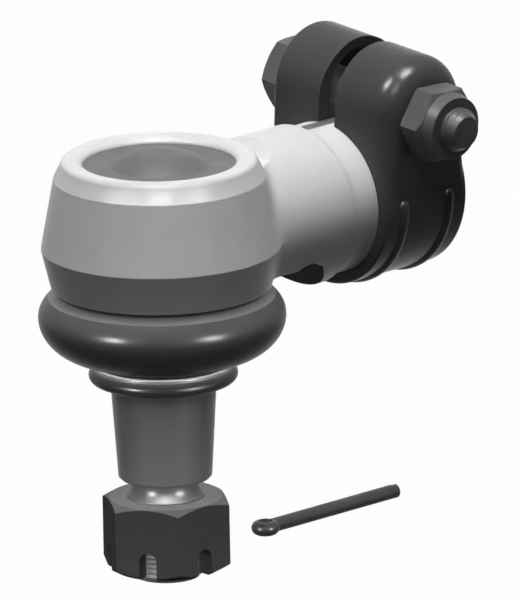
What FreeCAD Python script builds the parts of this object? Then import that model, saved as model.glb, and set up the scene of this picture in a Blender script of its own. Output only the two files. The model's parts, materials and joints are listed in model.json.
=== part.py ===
import FreeCAD, Part
import math
import os
from FreeCAD import Vector

# Angle ball joint for a heavy steering rod, in millimetres.
# The origin is the first full turn of the rod thread, on the arm's axis.
# +X leaves the thread's mouth, and the stud points down, along -Z.

# Where the ball sits from the thread
ball_to_thread = 106.6

# Ball stud
stud_thread_radius = 12.0
ball_ratio = 19.0 / 12.0
ball_flat_cut = 1.2
neck_radius = 11.0
neck_length = 26.0
flare_bend_width = 0.3
flare_bend_height = 0.62
seat_radius = 17.0
seat_shoulder = 3.7
cone_large_radius = 16.5
cone_length = 30.8
cone_taper = 8.0
relief_radius = 10.4
relief_length = 6.0
relief_straight = 2.4
seat_edge = 0.2
cone_edge = 0.8
thread_start_gap = 0.4
stud_end_chamfer = 2.0
stud_stand_out = 0.6
pin_hole_radius = 2.5
pin_hole_rise = 6.1

# Swing of the stud to each side, in degrees
tilt_limit = 20.0
throat_margin = 4.5
throat_clearance = 3.0
throat_step = 1.0

# Bearing shells, spring and cover
shell_wall = 5.4
shell_split = 0.6
shell_crown = 1.4
shell_hole_radius = 8.0
shell_edge = 1.0
spring_height = 2.4
spring_thickness = 1.2
spring_hole_radius = 9.0
spring_radius = 20.0
cover_thickness = 2.4
cover_overlap = 1.8
dome_radius = 15.3
dome_rise = 2.8
dome_wall = 1.5

# Eye of the housing
eye_wall = 12.8
eye_upper_draft = 0.191
eye_lower_draft = 0.236
parting_depth = 1.0
rim_lip = 1.1
rim_rise = 2.1
rim_shoulder = 3.6
rim_seam = 0.3
rim_inset = 0.2
rim_crest_shift = 1.0
rim_outer_fullness = 0.27
rim_inner_fullness = 0.3
eye_edge = 1.2
floor_thickness = 5.0
foot_radius = 28.5
foot_height = 5.0

# Arm and slotted shank
arm_radius = 25.3
arm_to_shoulder = 59.5
arm_under_rise = 1.53
arm_arch_start = 38.0
arm_arch_top = 1.5
arm_arch_length = 11.5
arm_arch_fall = 1.4
shoulder_step = 1.5
shank_fillet = 6.0
thread_bore_radius = 14.19
thread_length = 46.0
drill_tip = 6.0
mouth_chamfer = 1.4
slit_width = 4.5
arm_root_fillet = 7.0
arm_root_reach = 10.0
arm_edge = 0.3
arm_ramp_gap = 0.6
rim_relief_gap = 3.6
slit_gap = 1.4
shank_end_edge = 0.8

# Boot with its two seats
boot_radius = 38.6
boot_fold_depth = 8.5
boot_fold_width = 16.0
boot_fold_rise = 10.6
boot_fold_fall = 13.0
boot_wall = 2.2
boot_drop = 24.0
boot_lip_radius = 21.3
boot_shoulder_radius = 33.0
boot_bead_height = 3.8
boot_bead_overhang = 0.2
boot_top_edge = 0.5
boot_top_inset = 1.2
boot_lip_edge = 1.0
boot_lip_draft = 0.4
ring_wall = 1.2
washer_radius = 21.8
washer_thickness = 0.9
seal_radius = 23.2
seal_height = 4.5
seal_edge = 0.8

# Castle nut and split pin
nut_ratio = 3.0
nut_body_height = 14.0
nut_crown_height = 9.0
nut_slot_width = 5.5
nut_chamfer = 3.2
nut_crown_chamfer = 4.2
nut_turn = 26.9
pin_radius = 2.2
pin_eye_radius = 2.2
pin_near_end = 38.1
pin_length = 60.4
pin_gap = 0.3
pin_leg_step = 1.6
pin_neck = 0.2

# Clamp, turned a little about the shank
clamp_turn = 3.6
clamp_width = 34.6
clamp_setback = 1.4
clamp_wall = 3.9
clamp_nut_flank = 3.6
clamp_head_flank = 0.4
clamp_crease_height = 5.5
clamp_edge = 1.0
ear_rise = 1.7
ear_nut_round = 8.0
ear_head_round = 2.0
ear_corner = 2.5
ear_gap = 7.0
ear_wall = 4.3
ear_floor = 7.0
ear_web = 2.2
ear_hollow_rise = 1.3
rib_radius = 2.4
rib_stand = 1.0
rib_spread = 19.2
rib_end_angle = 4.0

# Clamp bolt and nut
bolt_radius = 7.0
bolt_rise = 4.8
bolt_hex = 22.0
bolt_head_height = 10.4
bolt_end_length = 5.0
bolt_end_chamfer = 2.0
bolt_head_chamfer = 1.6
clamp_nut_face_chamfer = 0.6
clamp_nut_chamfer = 2.2
clamp_nut_height = 12.0
clamp_nut_collar_height = 3.6
clamp_nut_collar_radius = 9.9
clamp_nut_collar_draft = 0.9
clamp_nut_collar_root = 0.5
clamp_nut_turn = -3.0
bolt_head_turn = 30.0

# Clearances
touch = 0.05
cut_margin = 1.0
ball_clearance = 0.05
shell_clearance = 0.05
seat_clearance = 0.05
boot_clearance = 0.3
thread_clearance = 0.05
clamp_clearance = 0.15
hole_clearance = 0.4

# Places that follow from the sizes, measured from the ball's centre
ball_radius = stud_thread_radius * ball_ratio
ball_x = -ball_to_thread
ball_centre = Vector(ball_x, 0, 0)
bore_radius = ball_radius + shell_wall + shell_clearance
neck_angle = math.asin(neck_radius / ball_radius)
throat_angle = neck_angle + math.radians(tilt_limit + throat_margin)
shell_floor = -ball_radius * math.cos(throat_angle)
shell_mouth_radius = ball_radius * math.sin(throat_angle)
shell_top = ball_radius + shell_crown
cover_floor = shell_top + spring_height + 2 * seat_clearance
cover_top = cover_floor + cover_thickness
cover_radius = bore_radius + cover_overlap
eye_bottom = shell_floor - floor_thickness
eye_parting_radius = bore_radius + eye_wall
rim_base = cover_top + seat_clearance - rim_shoulder
foot_bottom = eye_bottom - foot_height
arm_under = eye_bottom + arm_under_rise
tilt = math.radians(tilt_limit)
throat_bottom_radius = neck_radius / math.cos(tilt) - foot_bottom * math.tan(tilt) 
throat_bottom_radius += throat_clearance
washer_top = eye_bottom - boot_drop
seat_top = washer_top + seat_shoulder
seal_top = washer_top - washer_thickness - seat_clearance
seal_bottom = seal_top - seal_height
cone_top = seal_bottom - boot_clearance
cone_bottom = cone_top - cone_length
cone_small_radius = cone_large_radius - cone_length / (2 * cone_taper)
nut_top = cone_bottom - relief_length
nut_bottom = nut_top - nut_body_height - nut_crown_height
stud_end = nut_bottom - stud_end_chamfer - stud_stand_out
pin_height = stud_end + pin_hole_rise
nut_across_flats = stud_thread_radius * nut_ratio
clamp_front = -clamp_setback - clamp_width
clamp_back = -clamp_setback
shank_radius = arm_radius - shoulder_step
clamp_band_radius = shank_radius + clamp_wall
nut_flank = shank_radius + clamp_nut_flank
head_flank = shank_radius + clamp_head_flank
bolt_x = (clamp_front + clamp_back) / 2
bolt_height = shank_radius + bolt_rise
ear_centre_height = bolt_height + ear_rise
ear_radius = clamp_width / 2
shoulder_x = ball_x + arm_to_shoulder


def meridian_face(start, moves, place):
    """Closed face from a start point and moves; a move with two points is an arc through the first."""
    edges = []
    here = start
    for move in moves + [[start]]:
        end = move[-1]
        if len(move) == 2:
            edges.append(Part.Arc(place(here), place(move[0]), place(end)).toShape())
        elif place(here).distanceToPoint(place(end)) > 1e-6:
            edges.append(Part.makeLine(place(here), place(end)))
        here = end
    return Part.Face(Part.Wire(edges))


def turned_about_stud(start, moves):
    """Turned piece on the stud axis; points are radius and height from the ball's centre."""
    face = meridian_face(start, moves, lambda p: Vector(ball_x + p[0], 0, p[1]))
    return face.revolve(ball_centre, Vector(0, 0, 1), 360)


def turned_about_arm(start, moves):
    """Turned piece on the arm axis; points are place along X and radius."""
    face = meridian_face(start, moves, lambda p: Vector(p[0], 0, p[1]))
    return face.revolve(Vector(0, 0, 0), Vector(1, 0, 0), 360)


def turned_about_bolt(start, moves, centre_height):
    """Turned piece on an axis along Y through the clamp's middle; points are radius and place along Y."""
    face = meridian_face(start, moves, lambda p: Vector(bolt_x + p[0], p[1], centre_height))
    return face.revolve(Vector(bolt_x, 0, centre_height), Vector(0, 1, 0), 360)


def circle_gap(radius, offset):
    """Half chord of a circle at a distance from its centre."""
    return math.sqrt(radius ** 2 - offset ** 2)


def turned_with_clamp(shape):
    """The clamp and all that belongs to it is turned about the shank by the same angle."""
    shape.rotate(Vector(0, 0, 0), Vector(1, 0, 0), clamp_turn)
    return shape


def hexagon_prism(across_flats, height, turn):
    """Hexagonal bar from z = 0 upwards, with a flat facing the turn angle."""
    corner_radius = across_flats / math.sqrt(3)
    corners = []
    for step in range(6):
        angle = math.radians(turn + 30 + 60 * step)
        corners.append(Vector(corner_radius * math.cos(angle), corner_radius * math.sin(angle), 0))
    wire = Part.makePolygon(corners + [corners[0]])
    return Part.Face(wire).extrude(Vector(0, 0, height))


def chamfer_barrel(across_flats, height, low_cut, high_cut):
    """Barrel that takes the corners off a hexagon at 30 degrees, low and high by separate amounts."""
    corner_radius = across_flats / math.sqrt(3) + 0.01
    slope = math.tan(math.radians(30))
    points = [
        Vector(0, 0, 0),
        Vector(corner_radius - low_cut, 0, 0),
        Vector(corner_radius, 0, low_cut * slope),
        Vector(corner_radius, 0, height - high_cut * slope),
        Vector(corner_radius - high_cut, 0, height),
        Vector(0, 0, height),
    ]
    face = Part.Face(Part.makePolygon(points + [points[0]]))
    return face.revolve(Vector(0, 0, 0), Vector(0, 0, 1), 360)


def eye_side_radius(height):
    """Radius of the eye's drafted side at a height; it is widest at the parting line."""
    rise = height + parting_depth
    draft = eye_upper_draft if rise > 0 else eye_lower_draft
    return eye_parting_radius - draft * abs(rise)


def make_eye():
    """Turned eye: two drafted cones that meet at the parting line, the rolled rim and the boot's foot."""
    side_top = rim_base - rim_seam
    side_bottom = eye_bottom + eye_edge
    rim_outer = eye_side_radius(rim_base) - rim_inset
    rim_crest_radius = (rim_outer + bore_radius) / 2 + rim_crest_shift
    rim_crest = cover_top + rim_rise
    rim_inner_radius = cover_radius - cover_overlap - rim_seam
    rim_inner = cover_top + seat_clearance
    outer_width = rim_outer - rim_crest_radius
    outer_height = rim_crest - rim_base
    outer_via = (
        rim_outer - rim_outer_fullness * outer_width,
        rim_crest - rim_outer_fullness * outer_height,
    )
    inner_width = rim_crest_radius - rim_inner_radius
    inner_via = (
        rim_crest_radius - 2 * rim_inner_fullness * inner_width,
        rim_crest - rim_inner_fullness * rim_lip,
    )
    return turned_about_stud((rim_inner_radius, rim_inner), [
        [inner_via, (rim_crest_radius, rim_crest)],
        [outer_via, (rim_outer, rim_base)],
        [(eye_side_radius(side_top), side_top)],
        [(eye_parting_radius, -parting_depth)],
        [(eye_side_radius(side_bottom), side_bottom)],
        [(eye_side_radius(side_bottom) - eye_edge, eye_bottom)],
        [(foot_radius, eye_bottom)],
        [(foot_radius, foot_bottom)],
        [(throat_bottom_radius, foot_bottom)],
        [(shell_mouth_radius + throat_step, shell_floor)],
        [(bore_radius, shell_floor)],
        [(bore_radius, cover_floor)],
        [(cover_radius + seat_clearance, cover_floor)],
        [(cover_radius + seat_clearance, rim_inner)],
    ])


def make_eye_core():
    """Everything inside the eye that the arm may not fill."""
    return turned_about_stud((0, foot_bottom), [
        [(throat_bottom_radius, foot_bottom)],
        [(shell_mouth_radius + throat_step, shell_floor)],
        [(bore_radius, shell_floor)],
        [(bore_radius, arm_radius + cover_top)],
        [(0, arm_radius + cover_top)],
    ])


def make_arm_root():
    """The arm's barrel blended into the eye's side with a round root, before any relief."""
    reach = arm_radius + arm_root_reach
    eye_side = turned_about_stud((0, reach), [
        [(eye_side_radius(reach), reach)],
        [(eye_parting_radius, -parting_depth)],
        [(eye_side_radius(-reach), -reach)],
        [(0, -reach)],
    ])
    barrel = turned_about_arm((ball_x, 0), [
        [(ball_x, arm_radius)],
        [(shoulder_x - arm_edge, arm_radius)],
        [(shoulder_x, arm_radius - arm_edge)],
        [(shoulder_x, 0)],
    ])
    root = eye_side.fuse(barrel).removeSplitter()
    edges = []
    for edge in root.Edges:
        middle = edge.valueAt((edge.FirstParameter + edge.LastParameter) / 2)
        from_stud = math.hypot(middle.x - ball_x, middle.y)
        on_side = abs(from_stud - eye_side_radius(middle.z)) < touch
        if on_side and abs(math.hypot(middle.y, middle.z) - arm_radius) < touch:
            edges.append(edge)
    return root.makeFillet(arm_root_fillet, edges)


def make_arm():
    """Arm with its shoulder and shank, relieved above for the rim and below for the boot."""
    fillet_start = arm_radius - arm_edge
    fillet_centre = shank_radius + shank_fillet
    fillet_length = circle_gap(shank_fillet, fillet_centre - fillet_start)
    fillet_middle = shank_radius + shank_fillet - circle_gap(shank_fillet, fillet_length / 2)
    shank = turned_about_arm((shoulder_x - cut_margin, 0), [
        [(shoulder_x - cut_margin, fillet_start)],
        [(shoulder_x, fillet_start)],
        [(shoulder_x + fillet_length / 2, fillet_middle), (shoulder_x + fillet_length, shank_radius)],
        [(mouth_chamfer - shank_end_edge, shank_radius)],
        [(mouth_chamfer, shank_radius - shank_end_edge)],
        [(mouth_chamfer, 0)],
    ])
    side_top = rim_base - rim_seam
    relief_radius_top = eye_side_radius(side_top) + rim_relief_gap
    top_relief = turned_about_stud((0, side_top), [
        [(relief_radius_top, side_top)],
        [(relief_radius_top + rim_shoulder, side_top + rim_shoulder)],
        [(relief_radius_top + rim_shoulder, 2 * arm_radius)],
        [(0, 2 * arm_radius)],
    ])
    far_side = ball_x - 2 * eye_parting_radius
    deep = -2 * arm_radius
    arch_start = ball_x + arm_arch_start
    arch_middle = arch_start + arm_arch_length / 2
    arch_end = arch_start + arm_arch_length
    ramp_end = shoulder_x - arm_ramp_gap
    under_face = meridian_face((far_side, deep), [
        [(far_side, arm_under)],
        [(arch_start, arm_under)],
        [(arch_middle, arm_under + arm_arch_top), (arch_end, arm_under - arm_arch_fall)],
        [(ramp_end, -arm_radius)],
        [(ramp_end, deep)],
    ], lambda p: Vector(p[0], deep, p[1]))
    under_relief = under_face.extrude(Vector(0, -2 * deep, 0))
    return make_arm_root().cut(top_relief).cut(under_relief).fuse(shank)


def make_thread_bore():
    """Bore for the rod's thread, open at the mouth, with a drilled end."""
    outside = mouth_chamfer + cut_margin
    return turned_about_arm((outside, 0), [
        [(outside, thread_bore_radius + outside)],
        [(0, thread_bore_radius)],
        [(-thread_length, thread_bore_radius)],
        [(-thread_length - drill_tip, 0)],
    ])


def make_shank_slit():
    """Saw cut along the top of the shank, so that the clamp can close it on the rod."""
    slit_start = shoulder_x + slit_gap
    slit_length = mouth_chamfer + cut_margin - slit_start
    corner = Vector(slit_start, -slit_width / 2, 0)
    return Part.makeBox(slit_length, slit_width, shank_radius + cut_margin, corner)


def make_bolt_notch():
    """Round notch across the shank, through which the clamp bolt passes and holds the clamp in place."""
    notch_radius = bolt_radius + hole_clearance
    start = Vector(bolt_x, -2 * shank_radius, bolt_height)
    return turned_with_clamp(Part.makeCylinder(notch_radius, 4 * shank_radius, start, Vector(0, 1, 0)))


def make_housing():
    """Forged eye, arm and slotted shank in one piece."""
    arm = make_arm().cut(make_eye_core())
    body = make_eye().fuse(arm).removeSplitter()
    return body.cut(make_thread_bore()).cut(make_shank_slit()).cut(make_bolt_notch())


def dome_height(radius, rise, place):
    """Height of a round dome above its edge, at a distance from its middle."""
    sphere = (radius ** 2 + rise ** 2) / (2 * rise)
    return circle_gap(sphere, place) - sphere + rise


def make_cover_plate():
    """Pressed cover with a round dome in the middle, hollow below."""
    hollow = dome_radius - dome_wall
    hollow_rise = dome_height(hollow, dome_rise, hollow / 2)
    dome_half_rise = dome_height(dome_radius, dome_rise, dome_radius / 2)
    return turned_about_stud((0, cover_floor + dome_rise), [
        [(hollow / 2, cover_floor + hollow_rise), (hollow, cover_floor)],
        [(cover_radius, cover_floor)],
        [(cover_radius, cover_top)],
        [(dome_radius, cover_top)],
        [(dome_radius / 2, cover_top + dome_half_rise), (0, cover_top + dome_rise)],
    ])


def make_disc_spring():
    """Cone-shaped spring washer that presses the shells together."""
    low = shell_top + seat_clearance
    high = low + spring_height
    return turned_about_stud((spring_hole_radius, high - spring_thickness), [
        [(spring_hole_radius, high)],
        [(spring_radius, low + spring_thickness)],
        [(spring_radius, low)],
    ])


def make_upper_shell():
    """Upper half of the bearing: a cup over the ball with a grease hole."""
    cup_radius = ball_radius + ball_clearance
    outer_radius = bore_radius - shell_clearance
    split = shell_split / 2
    hole_rise = circle_gap(cup_radius, shell_hole_radius)
    middle = math.radians(45)
    return turned_about_stud((circle_gap(cup_radius, split), split), [
        [(cup_radius * math.cos(middle), cup_radius * math.sin(middle)), (shell_hole_radius, hole_rise)],
        [(shell_hole_radius, shell_top)],
        [(outer_radius - shell_edge, shell_top)],
        [(outer_radius, shell_top - shell_edge)],
        [(outer_radius, split)],
    ])


def make_lower_shell():
    """Lower half of the bearing: the ball rests in it and the neck swings in its mouth."""
    cup_radius = ball_radius + ball_clearance
    outer_radius = bore_radius - shell_clearance
    floor = shell_floor + seat_clearance
    split = -shell_split / 2
    mouth = circle_gap(cup_radius, floor)
    half_way = math.asin(-floor / cup_radius) / 2
    cup_middle = (cup_radius * math.cos(half_way), -cup_radius * math.sin(half_way))
    return turned_about_stud((mouth, floor), [
        [cup_middle, (circle_gap(cup_radius, split), split)],
        [(outer_radius, split)],
        [(outer_radius, floor + shell_edge)],
        [(outer_radius - shell_edge, floor)],
    ])


def make_ball_stud():
    """Forged ball, neck, boot seat, cone and threaded end with its cross hole, all one piece."""
    flat_height = ball_radius - ball_flat_cut
    neck_start = -circle_gap(ball_radius, neck_radius)
    flare_start = -neck_length
    flare_rise = flare_bend_height * (seat_top - flare_start)
    flare_via = (neck_radius + flare_bend_width * (seat_radius - neck_radius), flare_start + flare_rise)
    thread_start = nut_top + thread_start_gap
    stud = turned_about_stud((0, flat_height), [
        [(circle_gap(ball_radius, flat_height), flat_height)],
        [(ball_radius, 0), (neck_radius, neck_start)],
        [(neck_radius, flare_start)],
        [flare_via, (seat_radius, seat_top)],
        [(seat_radius, cone_top + seat_edge)],
        [(cone_large_radius, cone_top)],
        [(cone_small_radius, cone_bottom + cone_edge)],
        [(cone_small_radius - cone_edge, cone_bottom)],
        [(relief_radius, cone_bottom)],
        [(relief_radius, cone_bottom - relief_straight)],
        [(stud_thread_radius, thread_start)],
        [(stud_thread_radius, stud_end + stud_end_chamfer)],
        [(stud_thread_radius - stud_end_chamfer, stud_end)],
        [(0, stud_end)],
    ])
    hole_start = Vector(ball_x - 2 * stud_thread_radius, 0, pin_height)
    hole = Part.makeCylinder(pin_hole_radius, 4 * stud_thread_radius, hole_start, Vector(1, 0, 0))
    return stud.cut(hole)


def make_boot_upper_ring():
    """Steel ring inside the boot's upper bead, pressed over the foot of the housing."""
    inner = foot_radius + seat_clearance
    outer = inner + ring_wall
    top = eye_bottom - seat_clearance
    return turned_about_stud((inner, top), [
        [(outer, top)],
        [(outer, top - boot_bead_height)],
        [(inner, top - boot_bead_height)],
    ])


def fold_point(inset, angle):
    """Point of the boot's oval fold, in degrees up from its widest place, inset for the inner face."""
    turn = math.radians(angle)
    height = boot_fold_rise if angle > 0 else boot_fold_fall
    across = boot_radius - boot_fold_width + (boot_fold_width - inset) * math.cos(turn)
    return (across, eye_bottom - boot_fold_depth + (height - inset) * math.sin(turn))


def make_boot():
    """Rubber boot: a bead round the foot, one fat fold and a lip on the stud's seat."""
    bead_radius = foot_radius + seat_clearance + ring_wall + boot_clearance
    bead_top = eye_bottom - boot_clearance
    bead_drop = boot_bead_height + boot_bead_overhang
    bead_bottom = eye_bottom - bead_drop
    lip_inner = seat_radius + boot_clearance
    lip_bottom = washer_top + boot_clearance
    lip_top = lip_bottom + boot_wall
    shoulder_drop = boot_clearance + boot_top_edge
    outer_angle = math.degrees(math.asin((boot_fold_depth - shoulder_drop) / boot_fold_rise))
    inner_rise = boot_fold_rise - boot_wall
    inner_angle = math.degrees(math.asin((boot_fold_depth - bead_drop) / inner_rise))
    return turned_about_stud((bead_radius, bead_top), [
        [(boot_shoulder_radius - boot_top_inset, bead_top)],
        [(boot_shoulder_radius, bead_top - boot_top_edge)],
        [fold_point(0, outer_angle)],
        [fold_point(0, outer_angle / 2), fold_point(0, 0)],
        [fold_point(0, -22), fold_point(0, -45)],
        [fold_point(0, -68), fold_point(0, -90)],
        [(boot_lip_radius + boot_lip_draft, lip_bottom + boot_lip_edge)],
        [(boot_lip_radius, lip_bottom)],
        [(lip_inner, lip_bottom)],
        [(lip_inner, lip_top)],
        [fold_point(boot_wall, -90)],
        [fold_point(boot_wall, -68), fold_point(boot_wall, -45)],
        [fold_point(boot_wall, -22), fold_point(boot_wall, 0)],
        [fold_point(boot_wall, inner_angle / 2), fold_point(boot_wall, inner_angle)],
        [(bead_radius, bead_bottom)],
    ])


def make_support_washer():
    """Bright washer that spreads the boot's lower lip."""
    inner = seat_radius + boot_clearance
    return turned_about_stud((inner, washer_top), [
        [(washer_radius, washer_top)],
        [(washer_radius, washer_top - washer_thickness)],
        [(inner, washer_top - washer_thickness)],
    ])


def make_sealing_ring():
    """Round-edged rubber ring that seals the boot against the lever below it."""
    inner = seat_radius + boot_clearance
    round_centre = seal_radius - seal_height / 2
    middle = (seal_top + seal_bottom) / 2
    return turned_about_stud((inner, seal_top), [
        [(round_centre, seal_top)],
        [(seal_radius, middle), (round_centre, seal_bottom)],
        [(inner + seal_edge, seal_bottom)],
        [(inner, seal_bottom + seal_edge)],
    ])


def make_castle_nut():
    """Slotted hexagon nut, crown downwards."""
    height = nut_body_height + nut_crown_height
    nut = hexagon_prism(nut_across_flats, height, nut_turn)
    nut = nut.common(chamfer_barrel(nut_across_flats, height, nut_crown_chamfer, nut_chamfer))
    bore = stud_thread_radius + thread_clearance
    nut = nut.cut(Part.makeCylinder(bore, height + 2 * cut_margin, Vector(0, 0, -cut_margin)))
    slot_radius = nut_slot_width / 2
    slot_depth = nut_crown_height - slot_radius + cut_margin
    for step in range(3):
        slot = Part.makeBox(2 * nut_across_flats, nut_slot_width, slot_depth)
        slot.translate(Vector(-nut_across_flats, -slot_radius, -cut_margin))
        floor_start = Vector(-nut_across_flats, 0, nut_crown_height - slot_radius)
        floor = Part.makeCylinder(slot_radius, 2 * nut_across_flats, floor_start, Vector(1, 0, 0))
        slot = slot.fuse(floor)
        slot.rotate(Vector(0, 0, 0), Vector(0, 0, 1), nut_turn + 60 * step)
        nut = nut.cut(slot)
    nut.translate(Vector(ball_x, 0, nut_bottom))
    return nut


def make_cotter_pin():
    """Split pin drawn out along the line of its hole: a half-round wire folded back at its eye."""
    eye_x = ball_x + pin_near_end + pin_eye_radius + pin_radius
    flat = pin_gap / 2
    wire_top = Vector(eye_x, pin_eye_radius, pin_height + pin_radius)
    wire_bottom = Vector(eye_x, pin_eye_radius, pin_height - pin_radius)
    wire_side = Vector(eye_x, pin_eye_radius + pin_radius, pin_height)
    outline = [Part.Arc(wire_top, wire_side, wire_bottom).toShape(), Part.makeLine(wire_bottom, wire_top)]
    wire_face = Part.Face(Part.Wire(outline))
    eye = wire_face.revolve(Vector(eye_x, 0, pin_height), Vector(0, 0, 1), 360)
    leg_start = eye_x + pin_eye_radius + pin_neck
    leg_end = ball_x + pin_near_end + pin_length
    leg_place = Vector(leg_start, 0, pin_height)
    shank = Part.makeCylinder(pin_radius, leg_end - leg_start, leg_place, Vector(1, 0, 0))
    pin = eye.fuse(shank)
    below_pin = pin_height - 2 * pin_radius
    split = Part.makeBox(pin_length, pin_gap, 4 * pin_radius, Vector(eye_x, -flat, below_pin))
    short_leg = Part.makeBox(pin_leg_step + cut_margin, 2 * pin_radius, 4 * pin_radius)
    short_leg.translate(Vector(leg_end - pin_leg_step, 0, below_pin))
    return pin.cut(split).cut(short_leg)


def ear_section(height, nut_corner):
    """Level outline of both ears together, with round corners that differ on the nut's side."""
    corners = [
        (clamp_back, head_flank, 1, 1, ear_head_round),
        (clamp_front, head_flank, -1, 1, ear_head_round),
        (clamp_front, -nut_flank, -1, -1, nut_corner),
        (clamp_back, -nut_flank, 1, -1, nut_corner),
    ]
    arcs = []
    for index, (x, y, side_x, side_y, corner) in enumerate(corners):
        slack = corner * (1 - math.sqrt(0.5))
        on_end = Vector(x, y - side_y * corner, height)
        on_flank = Vector(x - side_x * corner, y, height)
        middle = Vector(x - side_x * slack, y - side_y * slack, height)
        ends = (on_end, on_flank) if index % 2 == 0 else (on_flank, on_end)
        arcs.append((ends[0], middle, ends[1]))
    edges = []
    for index, (begin, middle, end) in enumerate(arcs):
        edges.append(Part.makeLine(arcs[index - 1][2], begin))
        edges.append(Part.Arc(begin, middle, end).toShape())
    return Part.Wire(edges)


def make_ears():
    """Both ears before the gap is cut: a block that rounds off into a lobe about the bolt."""
    block = Part.makeLoft([
        ear_section(clamp_crease_height, ear_corner),
        ear_section(ear_centre_height, ear_nut_round),
    ], True, True)
    nut_slack = ear_nut_round * (1 - math.sqrt(0.5))
    head_slack = ear_head_round * (1 - math.sqrt(0.5))
    lobe = turned_about_bolt((0, -nut_flank), [
        [(ear_radius - ear_nut_round, -nut_flank)],
        [(ear_radius - nut_slack, -nut_flank + nut_slack), (ear_radius, -nut_flank + ear_nut_round)],
        [(ear_radius, head_flank - ear_head_round)],
        [(ear_radius - head_slack, head_flank - head_slack), (ear_radius - ear_head_round, head_flank)],
        [(0, head_flank)],
    ], ear_centre_height)
    size = 4 * nut_flank
    above = Part.makeBox(size, size, size, Vector(bolt_x - size / 2, -size / 2, ear_centre_height))
    return block.fuse(lobe.common(above))


def make_ear_hollow():
    """Round hollow inside both ears, open at the gap and flat above the shank; the bolt runs through it."""
    radius = ear_radius - ear_wall
    start = -nut_flank + ear_floor
    length = head_flank - ear_floor - start
    centre = Vector(bolt_x, start, ear_centre_height + ear_hollow_rise)
    hollow = Part.makeCylinder(radius, length, centre, Vector(0, 1, 0))
    corner = Vector(bolt_x - radius, start, shank_radius + ear_web)
    return hollow.common(Part.makeBox(2 * radius, length, 2 * ear_centre_height, corner))


def make_rib(x):
    """Round rib under the band, with a round end on each side."""
    track_radius = clamp_band_radius + rib_stand - rib_radius
    end_angle = math.radians(rib_end_angle)
    circle = Part.makeCircle(rib_radius, Vector(x, track_radius, 0), Vector(0, 0, 1))
    section = Part.Face(Part.Wire(circle))
    section.rotate(Vector(0, 0, 0), Vector(1, 0, 0), rib_end_angle)
    rib = section.revolve(Vector(0, 0, 0), Vector(1, 0, 0), -180 - 2 * rib_end_angle)
    for side in (-1, 1):
        centre = Vector(x, side * track_radius * math.cos(end_angle), track_radius * math.sin(end_angle))
        onward = Vector(0, -side * math.sin(end_angle), math.cos(end_angle))
        rib = rib.fuse(Part.makeSphere(rib_radius, centre, onward, 0, 90, 360))
    return rib


def make_clamp():
    """Forged clamp: a ribbed band under the shank and two ears that the bolt pulls together."""
    slack = clamp_edge * (1 - math.sqrt(0.5))
    clamp = turned_about_arm((clamp_front, 0), [
        [(clamp_front, clamp_band_radius - clamp_edge)],
        [(clamp_front + slack, clamp_band_radius - slack), (clamp_front + clamp_edge, clamp_band_radius)],
        [(clamp_back - clamp_edge, clamp_band_radius)],
        [(clamp_back - slack, clamp_band_radius - slack), (clamp_back, clamp_band_radius - clamp_edge)],
        [(clamp_back, 0)],
    ])
    clamp = clamp.fuse(make_ears())
    for side in (-1, 1):
        clamp = clamp.fuse(make_rib(bolt_x + side * rib_spread / 2))
    bore = shank_radius + clamp_clearance
    outside = clamp_front - cut_margin
    cut_length = clamp_width + 2 * cut_margin
    clamp = clamp.cut(Part.makeCylinder(bore, cut_length, Vector(outside, 0, 0), Vector(1, 0, 0)))
    gap = Part.makeBox(cut_length, ear_gap, 3 * ear_centre_height, Vector(outside, -ear_gap / 2, 0))
    hole_start = Vector(bolt_x, -2 * nut_flank, bolt_height)
    hole = Part.makeCylinder(bolt_radius + hole_clearance, 4 * nut_flank, hole_start, Vector(0, 1, 0))
    return turned_with_clamp(clamp.cut(gap).cut(make_ear_hollow()).cut(hole))


def laid_on_bolt(shape, place, direction):
    """Turns a piece made upwards from z = 0 so that it runs along Y from the given place."""
    shape.rotate(Vector(0, 0, 0), Vector(1, 0, 0), -90 * direction)
    shape.translate(Vector(bolt_x, place, bolt_height))
    return shape


def make_clamp_bolt():
    """Hexagon bolt across the ears, head on the +Y side."""
    head = hexagon_prism(bolt_hex, bolt_head_height, bolt_head_turn)
    head = head.common(chamfer_barrel(bolt_hex, bolt_head_height, 0, bolt_head_chamfer))
    head = laid_on_bolt(head, head_flank + seat_clearance, 1)
    end = -nut_flank - clamp_nut_height - bolt_end_length
    shank = turned_about_bolt((0, head_flank + cut_margin), [
        [(bolt_radius, head_flank + cut_margin)],
        [(bolt_radius, end + 1.5 * bolt_end_chamfer)],
        [(bolt_radius - bolt_end_chamfer, end)],
        [(0, end)],
    ], bolt_height)
    return turned_with_clamp(head.fuse(shank).removeSplitter())


def make_clamp_nut():
    """Lock nut: a hexagon that draws in to a round collar."""
    body_height = clamp_nut_height - clamp_nut_collar_height
    body = hexagon_prism(bolt_hex, body_height, clamp_nut_turn + 30)
    body = body.common(chamfer_barrel(bolt_hex, body_height, clamp_nut_face_chamfer, clamp_nut_chamfer))
    collar_height = clamp_nut_collar_height + clamp_nut_collar_root
    collar_foot = clamp_nut_collar_radius + clamp_nut_collar_draft
    collar = Part.makeCone(collar_foot, clamp_nut_collar_radius, collar_height)
    collar.translate(Vector(0, 0, body_height - clamp_nut_collar_root))
    bore_length = clamp_nut_height + 2 * cut_margin
    bore = Part.makeCylinder(bolt_radius + thread_clearance, bore_length, Vector(0, 0, -cut_margin))
    nut = body.fuse(collar).cut(bore)
    return turned_with_clamp(laid_on_bolt(nut, -nut_flank - seat_clearance, -1))


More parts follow.
